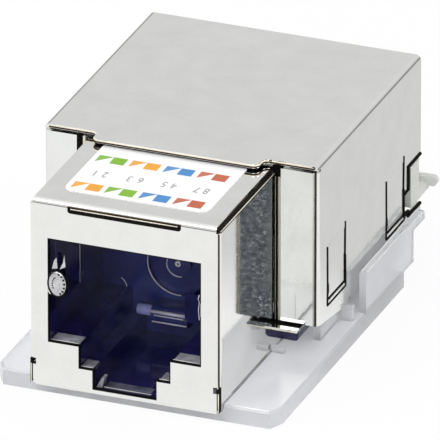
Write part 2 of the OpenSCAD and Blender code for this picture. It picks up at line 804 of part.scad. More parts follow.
module wire_guide() {
    inner_w = cover_inner_w - 2 * gap;
    shoulder = 1.2;
    rear_w = cover_w - 2 * shoulder;
    rear_drop = 0.8;
    lug_gap = 0.35;
    lug_inset = 0.7;
    lug_front = cover_rear - notch_depth + lug_inset;
    lug_low = notch_bottom + lug_gap;
    lug_high = notch_top - lug_gap;
    lug_x = cover_w / 2 - 0.05;
    arm_top = tab_z + 0.35;
    tab_depth = 0.5;
    color([0.88, 0.89, 0.86]) from_face() {
        difference() {
            union() {
                along_y(guide_front, cover_rear) {
                    rounded_rect([-inner_w / 2, guide_bottom], [inner_w / 2, guide_top], 0.8);
                }
                along_y(cover_rear - eps, guide_rear) {
                    rounded_rect([-rear_w / 2, guide_bottom], [rear_w / 2, guide_top - rear_drop], 1.2);
                }
            }
            translate([0, 0, cable_z]) along_y(guide_front - 1, guide_rear + 1) circle(cable_r);
        }
        for (side = [0, 1]) mirror([side, 0, 0]) {
            // lug in the notch of the cover and the arm behind it
            block([inner_w / 2 - 1, lug_front, lug_low], [lug_x, cover_rear - 2 * gap, lug_high]);
            block([rear_w / 2 - 1, cover_rear - 3 * gap, lug_low], [lug_x, guide_rear, arm_top]);
            // thumb tab with a round end
            translate([0, guide_rear, tab_z + tab_h / 2]) rotate([90, 0, 0]) linear_extrude(tab_depth) {
                translate([rear_w / 2 - 1, -tab_h / 2]) square([(tab_w - rear_w - tab_h) / 2 + 1, tab_h]);
                translate([(tab_w - tab_h) / 2, 0]) circle(tab_h / 2);
            }
        }
    }
}

// ---------- clear base ----------

// Outline of the base plate in the X-Y plane, drawn in by b
corner_left = 0.7;
corner_right = 0.55;
function base_outline(b) = [
    [-base_left + corner_left + b, base_front + b],
    [base_right - corner_right - b, base_front + b],
    [base_right - b, base_front + base_corner + b],
    [base_right - b, base_rear - b],
    [-base_left + b, base_rear - b],
    [-base_left + b, base_front + base_corner + b]
];

// Side wall in the Y-Z plane: its lower edge steps up behind the plate
module wall_outline() {
    end_r = 0.4;
    steps = [[0, 1.2], [2, 3.7]];
    difference() {
        union() {
            translate([wall_front, 0]) square([wall_rear - end_r - wall_front, wall_top]);
            translate([wall_rear - 2 * end_r, 0]) square([2 * end_r, wall_top - end_r]);
            translate([wall_rear - end_r, wall_top - end_r]) circle(end_r);
        }
        for (step = steps) translate([base_rear + step.x, -1]) square([cover_length, step.y + 1]);
    }
}

module clear_base() {
    pocket_half = shield_w / 2 + gap;
    stub = [shield_w / 2 + 0.15, cover_front - 1.2, base_t - eps];
    stub_size = [0.95, 0.5, 0.45];
    foot = [cover_w / 2 - 0.4, tongue_front + 3.9, base_t - eps];
    foot_size = [0.85, 0.5, cover_bottom - gap - foot.z];
    catch_t = 0.6;
    catch_gap = 0.25;
    catch_x = cover_inner_w / 2 - catch_gap - catch_t;
    catch_size = [catch_t, tongue_w - 2 * gap, tongue_bottom + tongue_slack - catch_gap - base_t];
    color([0.84, 0.85, 0.9, 0.5]) from_face() {
        difference() {
            hull() {
                linear_extrude(base_t - base_bevel) polygon(base_outline(0));
                linear_extrude(base_t) polygon(base_outline(base_bevel));
            }
            // pocket of the jack, open to the front
            block([-pocket_half, base_front - 1, shield_bottom - gap],
                  [pocket_half, housing_rear + gap, base_t + 1]);
        }
        along_x(base_right - wall_t, base_right) wall_outline();
        // stub beside the jack wall and foot under the right side of the cover
        translate(stub) cube(stub_size);
        translate(foot) cube(foot_size);
        // catches under the spring tongues of the cover
        for (side = [0, 1]) mirror([side, 0, 0]) for (row = [0, 1]) {
            translate([catch_x, tongue_front + row * tongue_pitch + gap, base_t - eps]) cube(catch_size);
        }
    }
}

front_shield();
rear_cover();
wiring_label();
jack_housing();
contact_carrier();
contact(0);  // contact_1
contact(1);  // contact_2
contact(2);  // contact_3
contact(3);  // contact_4
contact(4);  // contact_5
contact(5);  // contact_6
contact(6);  // contact_7
contact(7);  // contact_8
circuit_board();
terminal_block(-1);  // terminal_block_left
terminal_block(1);  // terminal_block_right
terminal(-1, 0);  // terminal_1
terminal(-1, 1);  // terminal_2
terminal(-1, 2);  // terminal_3
terminal(-1, 3);  // terminal_4
terminal(1, 0);  // terminal_5
terminal(1, 1);  // terminal_6
terminal(1, 2);  // terminal_7
terminal(1, 3);  // terminal_8
wire_guide();
clear_base();
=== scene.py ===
import math

import bmesh
import bpy
from mathutils import Matrix, Vector


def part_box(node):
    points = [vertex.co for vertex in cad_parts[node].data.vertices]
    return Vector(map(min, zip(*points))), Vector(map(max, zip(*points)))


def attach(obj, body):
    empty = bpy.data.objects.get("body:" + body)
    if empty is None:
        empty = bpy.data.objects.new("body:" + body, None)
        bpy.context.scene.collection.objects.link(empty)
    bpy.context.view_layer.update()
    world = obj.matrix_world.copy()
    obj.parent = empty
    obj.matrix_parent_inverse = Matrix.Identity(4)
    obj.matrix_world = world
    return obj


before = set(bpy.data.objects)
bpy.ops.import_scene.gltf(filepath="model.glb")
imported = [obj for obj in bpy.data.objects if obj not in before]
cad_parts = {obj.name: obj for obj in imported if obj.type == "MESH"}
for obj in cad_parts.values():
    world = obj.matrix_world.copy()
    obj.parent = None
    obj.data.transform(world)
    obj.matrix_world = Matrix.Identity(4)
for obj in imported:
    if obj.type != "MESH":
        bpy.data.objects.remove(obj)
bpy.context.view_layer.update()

MM = 0.001
scene = bpy.context.scene
scene.view_settings.view_transform = "Standard"

shield_lo, shield_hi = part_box("front_shield")
cover_lo, cover_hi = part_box("rear_cover")
label_lo, label_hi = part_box("wiring_label")
base_lo, base_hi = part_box("clear_base")
FACE_Y = shield_lo.y / MM
ALONG_X, ALONG_Y, ALONG_Z = (1, 0, 0), (0, 1, 0), (0, 0, 1)


def place(x, y, z):
    """A point given in mm from the jack face, in the row frame."""
    return Vector((x, y + FACE_Y, z)) * MM


def from_face(v):
    """A point of the row frame, in mm from the jack face."""
    return v / MM - Vector((0, FACE_Y, 0))


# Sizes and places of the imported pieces, in mm from the jack face
SHIELD_X = from_face(label_hi).x + 1.8
SHIELD_TOP = from_face(shield_hi).z
WALL_TOP = SHIELD_TOP - 0.5
SHIELD_LOW = from_face(shield_lo).z
COVER_X = from_face(cover_hi).x
COVER_TOP = from_face(cover_hi).z
LIP_Y = from_face(cover_lo).y
COVER_Y = LIP_Y + 1.25
COVER_REAR = from_face(cover_hi).y
LABEL_Z = from_face(label_hi).z
BASE_X = from_face(base_hi).x
BASE_TOP = 1.3
PLUG_X, PLUG_LOW, PLUG_TOP = 5.95, 4.3, 12.6
LATCH_X, LATCH_LOW = 3.575, 2.55
KEY_X, KEY_LOW = 2.5, 1.05
CAVITY_Y = 10.8


# ---------- camera ----------

AZIMUTH, ELEVATION = math.radians(21.23), math.radians(25.11)
DISTANCE = 1.3118
AIM = Vector((0.002697, -0.001551, 0.010191))
back = Vector((
    math.sin(AZIMUTH) * math.cos(ELEVATION),
    -math.cos(AZIMUTH) * math.cos(ELEVATION),
    math.sin(ELEVATION),
))
cam_data = bpy.data.cameras.new("camera")
cam_data.sensor_width = 36
cam_data.lens = 1477
cam_data.clip_start, cam_data.clip_end = 0.05, 20
camera = bpy.data.objects.new("camera", cam_data)
camera.rotation_mode = "QUATERNION"
camera.location = AIM + back * DISTANCE
camera.rotation_quaternion = (-back).to_track_quat("-Z", "Y")
scene.collection.objects.link(camera)
scene.camera = camera


# ---------- node helpers ----------

class Mat:
    """A material with one Principled shader and short calls for its nodes."""

    def __init__(self, name):
        self.mat = bpy.data.materials.new(name)
        self.mat.use_nodes = True
        self.tree = self.mat.node_tree
        self.tree.nodes.clear()
        self.out = self.node("OutputMaterial")
        self.bsdf = self.node("BsdfPrincipled")
        self.link(self.bsdf.outputs[0], self.out.inputs[0])
        coords = self.node("TexCoord")
        scale = self.node("Mapping")
        scale.inputs["Scale"].default_value = (1000, 1000, 1000)
        self.link(coords.outputs["Object"], scale.inputs[0])
        self.mm = scale.outputs[0]

    def node(self, kind, **values):
        n = self.tree.nodes.new("ShaderNode" + kind)
        for key, value in values.items():
            if hasattr(n, key):
                setattr(n, key, value)
            else:
                n.inputs[key.replace("_", " ")].default_value = value
        return n

    def link(self, a, b):
        self.tree.links.new(a, b)

    def set(self, **values):
        for key, value in values.items():
            self.bsdf.inputs[key.replace("_", " ")].default_value = value
        return self

    def noise(self, scale, detail=3.0, stretch=(1, 1, 1), rough=0.55):
        m = self.node("Mapping")
        m.inputs["Scale"].default_value = stretch
        self.link(self.mm, m.inputs[0])
        n = self.node("TexNoise")
        n.inputs["Scale"].default_value = scale
        n.inputs["Detail"].default_value = detail
        n.inputs["Roughness"].default_value = rough
        self.link(m.outputs[0], n.inputs["Vector"])
        return n.outputs[0]

    def ramp(self, fac, stops):
        r = self.node("ValToRGB")
        ramp = r.color_ramp
        while len(ramp.elements) < len(stops):
            ramp.elements.new(0.5)
        for e, (pos, col) in zip(ramp.elements, stops):
            e.position = pos
            e.color = (*col, 1) if len(col) == 3 else col
        self.link(fac, r.inputs[0])
        return r.outputs[0]

    def span(self, value, lo, hi, to_lo, to_hi):
        m = self.node("MapRange")
        for i, v in enumerate((lo, hi, to_lo, to_hi)):
            m.inputs[i + 1].default_value = v
        self.link(value, m.inputs[0])
        return m.outputs[0]

    def math(self, op, a, b=None):
        m = self.node("Math", operation=op)
        for i, v in enumerate((a, b)):
            if v is None:
                continue
            if isinstance(v, (int, float)):
                m.inputs[i].default_value = v
            else:
                self.link(v, m.inputs[i])
        return m.outputs[0]

    def mix(self, fac, a, b, blend="MIX"):
        m = self.node("Mix", data_type="RGBA", blend_type=blend)
        for i, v in ((0, fac), (6, a), (7, b)):
            if isinstance(v, (int, float)):
                m.inputs[i].default_value = v
            elif isinstance(v, tuple):
                m.inputs[i].default_value = (*v, 1)
            else:
                self.link(v, m.inputs[i])
        return m.outputs[2]

    def bump(self, height, distance, strength=1.0, normal=None):
        b = self.node("Bump")
        b.inputs["Strength"].default_value = strength
        b.inputs["Distance"].default_value = distance
        self.link(height, b.inputs["Height"])
        if normal is not None:
            self.link(normal, b.inputs["Normal"])
        return b.outputs[0]

    def use(self, **sockets):
        for key, out in sockets.items():
            self.link(out, self.bsdf.inputs[key.replace("_", " ")])
        return self


def tin(name, tone, rough, grain=0.5, mottle=0.0, spread=0.04, front_rough=None):
    """Tin-plated sheet: cloudy tone, rolled grain, mottled skin. front_rough is for its frontmost faces."""
    m = Mat(name)
    cloud = m.noise(0.45, 4)
    fine = m.noise(9, 2, (1, 0.35, 1))
    tone_mix = m.mix(0.35, cloud, fine)
    dark = tuple(c * (1 - spread) for c in tone)
    light = tuple(min(1, c * (1 + spread)) for c in tone)
    m.use(Base_Color=m.ramp(tone_mix, [(0.35, dark), (0.65, light)]))
    worn = m.span(cloud, 0.3, 0.7, rough * 0.85, rough * 1.15)
    if front_rough:
        split = m.node("SeparateXYZ")
        m.link(m.mm, split.inputs[0])
        limit = FACE_Y + COVER_Y
        share = m.span(split.outputs["Y"], limit + 0.1, limit + 0.5, front_rough / rough, 1)
        worn = m.math("MULTIPLY", worn, share)
    m.use(Roughness=worn)
    waves = m.noise(1.6, 2)
    grain_h = m.noise(7, 3, (1, 0.5, 1))
    normal = m.bump(waves, 4e-6 * grain)
    normal = m.bump(grain_h, 1.5e-6 * grain, normal=normal)
    if mottle:
        normal = m.bump(m.noise(4.2, 4), 1e-5 * mottle, normal=normal)
    m.use(Normal=normal)
    m.set(Metallic=1.0)
    return m.mat


def plastic(name, tone, rough, spread=0.08, coat=0.0, bump=1.0, gloss=0.5):
    """Moulded plastic with a faint cloud in its tone and a fine skin."""
    m = Mat(name)
    cloud = m.noise(0.6, 3)
    dark = tuple(c * (1 - spread) for c in tone)
    light = tuple(min(1, c * (1 + spread)) for c in tone)
    m.use(Base_Color=m.ramp(cloud, [(0.35, dark), (0.65, light)]))
    m.use(Roughness=m.span(m.noise(3, 2), 0.3, 0.7, rough * 0.85, rough * 1.15))
    m.use(Normal=m.bump(m.noise(2.5, 2), 3e-6 * bump))
    m.set(Coat_Weight=coat, Coat_Roughness=0.08, Specular_IOR_Level=gloss)
    return m.mat


def glow_painted_plastic(name, tone, glow_tone, centre, reach, rough):
    """Dark glossy plastic with a paler glow painted about one place, standing in for light that comes through
    the moulding.
    """
    m = Mat(name)
    far = m.node("VectorMath", operation="DISTANCE")
    m.link(m.mm, far.inputs[0])
    far.inputs[1].default_value = place(*centre) / MM
    glow = m.span(far.outputs["Value"], 0, reach, 1, 0)
    patchy = m.math("MULTIPLY", glow, m.span(m.noise(0.5, 3), 0.3, 0.7, 0.5, 1.1))
    dark = tuple(c * 0.6 for c in tone)
    light = tuple(c * 1.3 for c in tone)
    cloud = m.ramp(m.noise(0.8, 3), [(0.35, dark), (0.65, light)])
    m.use(Base_Color=m.mix(patchy, cloud, glow_tone))
    m.use(Roughness=m.span(m.noise(3, 2), 0.3, 0.7, rough * 0.8, rough * 1.2))
    m.use(Normal=m.bump(m.noise(1.2, 3), 1.2e-5))
    m.set(Coat_Weight=0.6, Coat_Roughness=0.06)
    return m.mat


def milky(name, tone, rough, through):
    """Milky clear plastic: part of the light goes through and the rest scatters."""
    m = Mat(name)
    flow = m.noise(0.35, 3, (1, 0.4, 1))
    dark = tuple(c * 0.95 for c in tone)
    m.use(Base_Color=m.ramp(flow, [(0.35, dark), (0.65, tone)]))
    m.use(Roughness=m.span(flow, 0.3, 0.7, rough * 0.8, rough * 1.2))
    m.use(Normal=m.bump(m.noise(0.9, 2), 8e-6))
    m.set(Transmission_Weight=through, IOR=1.35)
    return m.mat


shield_mat = tin("shield_tin_look", (0.86, 0.865, 0.84), 0.06, grain=0.4, mottle=0.12)
cover_mat = tin("cover_tin_look", (0.86, 0.87, 0.85), 0.13, grain=0.7, mottle=0.12, front_rough=0.07)
navy_mat = glow_painted_plastic("navy_look", (0.014, 0.011, 0.085), (0.06, 0.085, 0.3), (-1.0, 9.5, 4.8), 6.5, 0.2)
carrier_mat = plastic("carrier_look", (0.008, 0.007, 0.035), 0.3, spread=0.2)
label_mat = plastic("label_look", (0.86, 0.86, 0.87), 0.55, spread=0.01, bump=0.3)
gold_mat = tin("gold_look", (0.83, 0.6, 0.25), 0.2)
board_mat = plastic("board_look", (0.03, 0.16, 0.06), 0.35, coat=0.4)
block_mat = plastic("block_look", (0.72, 0.72, 0.68), 0.4)
blade_mat = tin("blade_look", (0.78, 0.78, 0.76), 0.25)
guide_mat = milky("guide_look", (0.92, 0.93, 0.89), 0.3, 0.4)
base_mat = milky("base_look", (0.955, 0.96, 0.99), 0.18, 0.58)
# painted shade: this black material fills gaps, slits and hollows and draws dark outlines where shade falls
shade_fill_mat = plastic("edge_shadow_look", (0.004, 0.0035, 0.003), 0.6, spread=0.3, gloss=0.08)
# partly the dark band of cut sheet edges, partly painted shade and painted dark reflection along folds, holes
# and seams
brown_edge_and_shade_mat = plastic("edge_brown_and_shade_look", (0.05, 0.032, 0.017), 0.5, spread=0.4, gloss=0.1)
# painted highlight: cream lines on sheet edges
cream_highlight_mat = plastic("edge_cream_highlight_look", (0.86, 0.8, 0.66), 0.4, spread=0.05)
# painted highlight: white lines on edges
white_highlight_mat = plastic("edge_white_highlight_look", (0.9, 0.9, 0.88), 0.35, spread=0.03)
# painted highlight: lavender lines on the navy moulding's edges
lavender_highlight_mat = plastic("edge_lavender_highlight_look", (0.8, 0.8, 0.98), 0.3, spread=0.15, coat=0.6)
shade_mat = plastic("shade_navy_look", (0.007, 0.007, 0.04), 0.6, spread=0.4, gloss=0.04)
reddish_line_mat = plastic("edge_reddish_look", (0.22, 0.07, 0.035), 0.5, spread=0.4, gloss=0.2)
strip_mat = plastic("strip_look", (0.12, 0.12, 0.17), 0.35, spread=0.5, coat=0.2, bump=5)
satin_mat = plastic("lip_look", (0.33, 0.33, 0.37), 0.3, spread=0.6, coat=0.4, bump=8)

LOOKS = {
    "front_shield": shield_mat, "rear_cover": cover_mat, "wiring_label": label_mat,
    "jack_housing": navy_mat, "contact_carrier": carrier_mat, "circuit_board": board_mat,
    "terminal_block_left": block_mat, "terminal_block_right": block_mat,
    "wire_guide": guide_mat, "clear_base": base_mat,
}
for i in range(1, 9):
    LOOKS[f"contact_{i}"] = gold_mat
    LOOKS[f"terminal_{i}"] = blade_mat
for node, mat in LOOKS.items():
    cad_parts[node].material_slots[0].material = mat


# ---------- pieces ----------

class Shape:
    """Solids drawn in mm from the jack face and joined in one mesh."""

    def __init__(self):
        self.bm = bmesh.new()

    def ring(self, points):
        return [self.bm.verts.new(place(*p)) for p in points]

    def skin(self, rings, closed=False):
        """Faces between rings, with caps at both ends unless the rings close on themselves."""
        pairs = list(zip(rings, rings[1:]))
        if closed:
            pairs.append((rings[-1], rings[0]))
        for one, two in pairs:
            for i in range(len(one)):
                j = (i + 1) % len(one)
                self.bm.faces.new((one[i], one[j], two[j], two[i]))
        if not closed:
            self.bm.faces.new(rings[0])
            self.bm.faces.new(rings[-1][::-1])
        return self

    def prism(self, axis, outline, low, high):
        """An outline, drawn in the two other axes, extruded from low to high."""
        def at(p, level):
            xyz = list(p)
            xyz.insert(axis, level)
            return xyz
        return self.skin([self.ring([at(p, level) for p in outline]) for level in (low, high)])

    def box(self, low, high):
        (x0, y0, z0), (x1, y1, z1) = low, high
        return self.prism(2, [(x0, y0), (x1, y0), (x1, y1), (x0, y1)], z0, z1)

    def rod(self, path, r, normal, sides=6, closed=False):
        """A thin round rod along a path that lies in the plane across normal."""
        points = [Vector(p) for p in path]
        side = Vector(normal)
        last = len(points) - 1
        rings = []
        for i, p in enumerate(points):
            before = points[i - 1] if closed or i > 0 else p
            after = points[(i + 1) % len(points)] if closed or i < last else p
            up = (after - before).normalized().cross(side)
            turns = [2 * math.pi * k / sides for k in range(sides)]
            rings.append(self.ring([p + (side * math.cos(t) + up * math.sin(t)) * r for t in turns]))
        return self.skin(rings, closed)

    def piece(self, name, mat, slot, bevel=0.0, smooth=True):
        bmesh.ops.recalc_face_normals(self.bm, faces=self.bm.faces)
        mesh = bpy.data.meshes.new(name)
        self.bm.to_mesh(mesh)
        self.bm.free()
        mesh.materials.append(mat)
        if smooth and not bevel:
            mesh.shade_smooth()
        obj = bpy.data.objects.new(name, mesh)
        scene.collection.objects.link(obj)
        if bevel:
            soft = obj.modifiers.new("soft_edges", "BEVEL")
            soft.width = bevel * MM
            soft.segments = 2
        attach(obj, "root")
        return obj


def arc(centre, r, start, end, steps=8):
    """Points of an arc in a plane, angles in degrees."""
    turns = [math.radians(start + (end - start) * k / steps) for k in range(steps + 1)]
    return [(centre[0] + r * math.cos(t), centre[1] + r * math.sin(t)) for t in turns]


# ---------- label print ----------

PATCH_COLOURS = {
    "green": (0.19, 0.42, 0.02),
    "orange": (0.8, 0.35, 0.03),
    "blue": (0.055, 0.235, 0.53),
    "brown": (0.49, 0.11, 0.05),
}
COLUMNS = (-5.2, -2.6, 0.05, 2.7)
ROWS = (
    ((7.4, 8.5), ("green", "orange", "blue", "brown")),
    ((2.55, 3.7), ("orange", "green", "blue", "brown")),
)
INK = 0.012


def patches(colour, tint, pale):
    """The pale triangles or the solid squares of one wire colour."""
    shape = Shape()
    for (low, high), order in ROWS:
        for x, name in zip(COLUMNS, order):
            if name != colour:
                continue
            if pale:
                outline = [(x, high), (x + 1.08, high), (x, low)]
            else:
                outline = [(x + 1.12, low), (x + 2.2, low), (x + 2.2, high), (x + 1.12, high)]
            shape.prism(2, outline, LABEL_Z - INK, LABEL_Z + INK)
    part = "pale" if pale else "solid"
    name = f"label_{colour}_{part}"
    shape.piece(name, plastic(f"{name}_ink", tint, 0.5, spread=0.06, bump=0.3), "label_white", smooth=False)


for colour, tint in PATCH_COLOURS.items():
    patches(colour, tint, False)
    patches(colour, tuple(0.94 * c + 0.04 for c in tint), True)

DIGITS = (
    (-4.4, "1"), (-3.62, "2"), (-1.73, "3"), (-0.88, "6"),
    (0.97, "5"), (1.71, "4"), (3.51, "7"), (4.24, "8"),
)
DIGIT_Y, DIGIT_SIZE, DIGIT_NARROW = 5.5, 1.3, 0.66


def digit(x, sign):
    """One pin number, upside down to who looks from the front."""
    curve = bpy.data.curves.new(f"digit_{sign}", "FONT")
    curve.body = sign
    curve.size = DIGIT_SIZE * MM
    curve.extrude = INK * MM
    curve.align_x, curve.align_y = "CENTER", "CENTER"
    text = bpy.data.objects.new("digit_curve", curve)
    mesh = bpy.data.meshes.new_from_object(text)
    bpy.data.objects.remove(text)
    turn = Matrix.Translation(place(x, DIGIT_Y, LABEL_Z)) @ Matrix.Rotation(math.pi, 4, "Z")
    mesh.transform(turn @ Matrix.Diagonal((DIGIT_NARROW, 1, 1, 1)))
    mesh.materials.clear()
    mesh.materials.append(digit_mat)
    obj = bpy.data.objects.new(f"label_digit_{sign}", mesh)
    scene.collection.objects.link(obj)
    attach(obj, "root")


digit_mat = plastic("digit_ink", (0.3, 0.31, 0.33), 0.6, spread=0.1, bump=0.3)
for x, sign in DIGITS:
    digit(x, sign)


# ---------- edges of the front shield ----------

def stepped(inset):
    """The outline of the plug opening in X and Z, drawn in by inset."""
    half = [
        (KEY_X - inset, KEY_LOW + inset),
        (KEY_X - inset, LATCH_LOW + inset),
        (LATCH_X - inset, LATCH_LOW + inset),
        (LATCH_X - inset, PLUG_LOW + inset),
        (PLUG_X - inset, PLUG_LOW + inset),
        (PLUG_X - inset, PLUG_TOP - inset),
    ]
    return half + [(-x, z) for x, z in reversed(half)]


def opening_edge_shade():
    """Painted shade: a black ring on the cut edge of the sheet round the plug opening."""
    section = ((0.01, -0.005), (0.09, 0.03), (0.09, 0.28), (0.01, 0.28))
    rings = [[(x, y, z) for x, z in stepped(inset)] for inset, y in section]
    shape = Shape()
    shape.skin([shape.ring(r) for r in rings], closed=True)
    shape.piece("opening_edge_shade", shade_fill_mat, "shield_tin", smooth=False)
    half, top = PLUG_X - 0.3, PLUG_TOP - 0.12
    # a thin reddish-brown line under the opening's top edge
    rust = Shape().rod([(-half, 0.3, top), (half, 0.3, top)], 0.035, ALONG_Y)
    rust.piece("opening_top_line", reddish_line_mat, "shield_tin")


def fold_slot():
    """The slot in the top fold: a black fill behind it as painted shade, a brown line on its cut edge, partly
    painted shade, and a painted highlight on its rim.
    """
    half, low, high = 4.4, WALL_TOP - 0.26, WALL_TOP + 0.2
    mid, r = (low + high) / 2, (high - low) / 2
    outline = arc((half - r, mid), r, -90, 90) + arc((r - half, mid), r, 90, 270)
    Shape().prism(1, outline, -0.015, 0.36).piece("fold_slot_shade", shade_fill_mat, "shield_tin", smooth=False)
    top = [(-half, 0.05, high + 0.02), (half, 0.05, high + 0.02)]
    Shape().rod(top, 0.06, ALONG_Y).piece("fold_slot_edge", brown_edge_and_shade_mat, "shield_tin")
    glint = Shape().rod([(0.25 - half, -0.02, high - 0.1), (half - 0.25, -0.02, high - 0.1)], 0.04, ALONG_Y)
    glint.piece("fold_slot_glint", cream_highlight_mat, "shield_tin")


def side_seam_shade():
    """Painted shade in the seams between the shield's sheets: black fills along the top plate, at the folds
    and in the corner slits, brown lines on the folds for their dark reflection, and painted highlights on the
    seam edges.
    """
    top_x = SHIELD_X - 0.3
    fold = (SHIELD_X - 0.13, 0.13)
    dark = Shape()
    for side in (-1, 1):
        x0, x1 = sorted((side * (top_x - 0.12), side * (top_x + 0.05)))
        dark.box((x0, 0.2, WALL_TOP - 0.02), (x1, 10.9, WALL_TOP + 0.26))
        wide = 0.15 if side > 0 else 0.1
        x0, x1 = sorted((side * (SHIELD_X - 0.04 - wide), side * (SHIELD_X - 0.04)))
        dark.box((x0, 0.06, SHIELD_LOW + 0.05), (x1, 0.3, SHIELD_LOW + 2.0))
        hook = ((0.06, 2.02), (0.2, 1.98), (0.32, 1.8), (0.24, 1.66), (0.12, 1.6))
        dark.prism(1, [(side * (SHIELD_X - a), SHIELD_LOW + z) for a, z in hook], 0.02, 0.28)
    # two short black marks on the top plate's right edge, painted shade
    for y, long in ((6.9, 0.5), (9.2, 0.35)):
        dark.box((top_x - 0.04, y - long, WALL_TOP + 0.2), (top_x + 0.07, y + long, SHIELD_TOP - 0.06))
    dark.piece("side_seam_shade", shade_fill_mat, "shield_tin", bevel=0.02)
    line = Shape()
    line.rod([(fold[0], fold[1], SHIELD_LOW + 2.1), (fold[0], fold[1], WALL_TOP - 0.06)], 0.075, ALONG_Y)
    x, z = top_x + 0.02, SHIELD_TOP - 0.14
    line.rod([(x, 0.16, z), (x, 10.9, z)], 0.03, ALONG_X)
    line.piece("fold_shade_lines", brown_edge_and_shade_mat, "shield_tin")
    light = Shape()
    light.rod([(SHIELD_X - 0.12, 0.5, WALL_TOP), (SHIELD_X - 0.12, 11.2, WALL_TOP)], 0.04, ALONG_X)
    for side in (-1, 1):
        x = side * (SHIELD_X - 0.13)
        light.rod([(x, 0.04, SHIELD_LOW + 0.1), (x, 0.04, SHIELD_LOW + 1.6)], 0.04, ALONG_X)
    light.piece("seam_glints", cream_highlight_mat, "shield_tin")


opening_edge_shade()
fold_slot()
side_seam_shade()


# ---------- gap between shield and cover ----------

def cover_gap():
    """Painted shade: black fills in the hollows beside the shield where it goes into the cover, with painted
    highlights on the sheet edges in them.
    """
    dark, light = Shape(), Shape()
    wall = SHIELD_X + 0.005
    low, high = SHIELD_LOW + 1.9, WALL_TOP
    dark.box((wall, COVER_Y - 0.05, low + 0.1), (wall + 0.03, COVER_Y + 0.2, high))
    light.box((wall + 0.02, COVER_Y + 0.35, low), (wall + 0.22, COVER_Y + 0.41, high))
    dark.box((wall + 0.2, COVER_Y + 0.42, low), (wall + 0.34, COVER_Y + 0.48, high))
    dark.box((wall - 0.3, COVER_Y + 0.1, high - 0.3), (wall + 0.4, COVER_Y + 0.4, COVER_TOP - 0.32))
    dark.box((-wall - 0.72, COVER_Y + 0.35, low), (-wall - 0.4, COVER_Y + 0.5, COVER_TOP - 0.32))
    light.box((-wall - 0.3, COVER_Y + 0.1, 4), (-wall - 0.12, COVER_Y + 0.3, COVER_TOP - 0.6))
    # painted shade in the hollow under the middle lip
    dark.box((-6.3, LIP_Y + 0.12, SHIELD_TOP + 0.06), (6.3, LIP_Y + 0.3, COVER_TOP - 0.31))
    dark.piece("cover_gap", shade_fill_mat, "cover_tin", bevel=0.01)
    light.piece("cover_gap_highlights", cream_highlight_mat, "cover_tin", bevel=0.01)


def lip_path(y_shift, z):
    """The front edge of the cover's top sheet from left to right."""
    half, r = 6.45, 0.5
    right = arc((half - r, LIP_Y + r), r, -90, 0) + arc((half + r, COVER_Y - r), r, 180, 90)
    right.append((COVER_X - 0.4, COVER_Y))
    flat = [(-x, y) for x, y in reversed(right)] + right
    return [(x, y + y_shift, z) for x, y in flat]


def cover_edges():
    """Cut edges of the cover: a painted highlight over a brown line, partly the cut face's own dark band and
    partly painted shade, a painted highlight and painted shade down the fold of its right side, and two small
    painted shade rings on the front edge.
    """
    glint = Shape().rod(lip_path(-0.01, COVER_TOP - 0.1), 0.055, ALONG_Z)
    x, y = COVER_X - 0.38, COVER_Y - 0.01
    glint.rod([(x, y, 3.4), (x, y, COVER_TOP - 0.5)], 0.03, ALONG_Y)
    glint.piece("cover_edge_glints", cream_highlight_mat, "cover_tin")
    brown = Shape().rod(lip_path(-0.02, COVER_TOP - 0.21), 0.06, ALONG_Z)
    x, y = COVER_X - 0.25, COVER_Y + 0.03
    brown.rod([(x, y, 3.35), (x, y, COVER_TOP - 0.4)], 0.07, ALONG_Y)
    for x, y in ((COVER_X - 0.4, COVER_Y), (6.95, COVER_Y - 0.02)):
        brown.rod([(a, y - 0.02, z) for a, z in arc((x, COVER_TOP - 0.13), 0.1, 0, 360, 8)], 0.04, ALONG_Y)
    brown.piece("cover_edge_and_shade_lines", brown_edge_and_shade_mat, "cover_tin")


TONGUES = ((13.1, 16.75), (25.15, 28.8))
TONGUE_LOW, TONGUE_TOP = 4.2, 9.05


